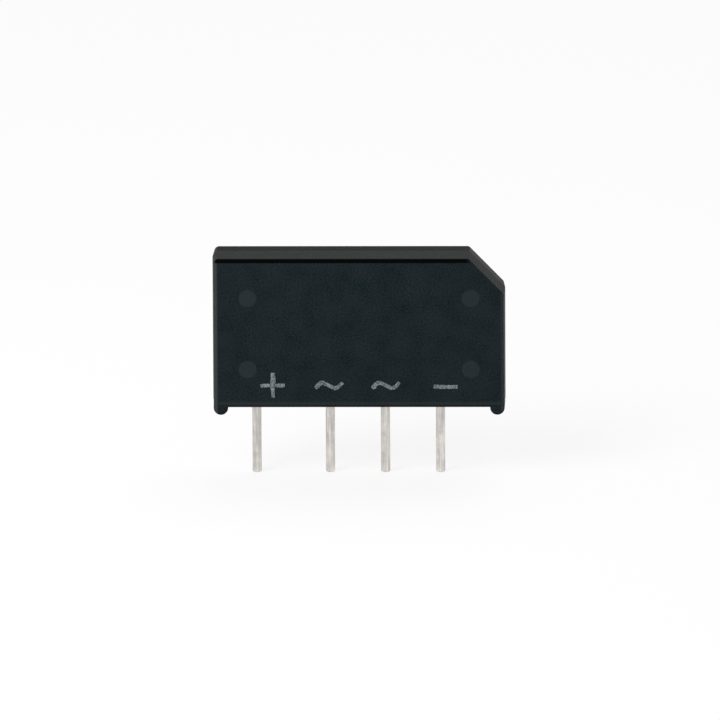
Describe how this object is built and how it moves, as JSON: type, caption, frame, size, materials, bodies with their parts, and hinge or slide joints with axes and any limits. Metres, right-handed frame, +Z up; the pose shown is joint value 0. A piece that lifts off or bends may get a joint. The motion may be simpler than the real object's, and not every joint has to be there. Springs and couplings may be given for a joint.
{
  "type": "bridge rectifier",
  "caption": "In-line bridge rectifier: a flat moulded body with a bevelled corner and half-round feet, and round leads in a row for soldering to a circuit board.",
  "frame": {"origin": "on the axis of the plus lead, at the level that the half-round feet stand on, which is the board's surface", "axes": "+X along the row of leads from the plus lead to the minus lead, -Y out of the marked front face, +Z up, away from the tips of the leads"},
  "size_m": [0.0202, 0.0036, 0.0158],
  "materials": {
    "epoxy": "matte",
    "tinned_copper": "satin",
    "silicon": "gloss",
    "copper": "satin",
    "solder": "satin"
  },
  "bodies": {
    "root": {"moulded_body": "epoxy", "plus_lead": "tinned_copper", "left_ac_lead": "tinned_copper", "right_ac_lead": "tinned_copper", "minus_lead": "tinned_copper", "upper_left_die": "silicon", "upper_right_die": "silicon", "lower_left_die": "silicon", "lower_right_die": "silicon", "left_ac_clip": "copper", "right_ac_clip": "copper", "minus_clip": "copper", "upper_left_die_base_solder": "solder", "upper_right_die_base_solder": "solder", "lower_left_die_base_solder": "solder", "lower_right_die_base_solder": "solder", "upper_left_die_top_solder": "solder", "upper_right_die_top_solder": "solder", "lower_left_die_top_solder": "solder", "lower_right_die_top_solder": "solder", "left_ac_clip_solder": "solder", "right_ac_clip_solder": "solder", "minus_clip_solder": "solder"}
  },
  "joints": []
}
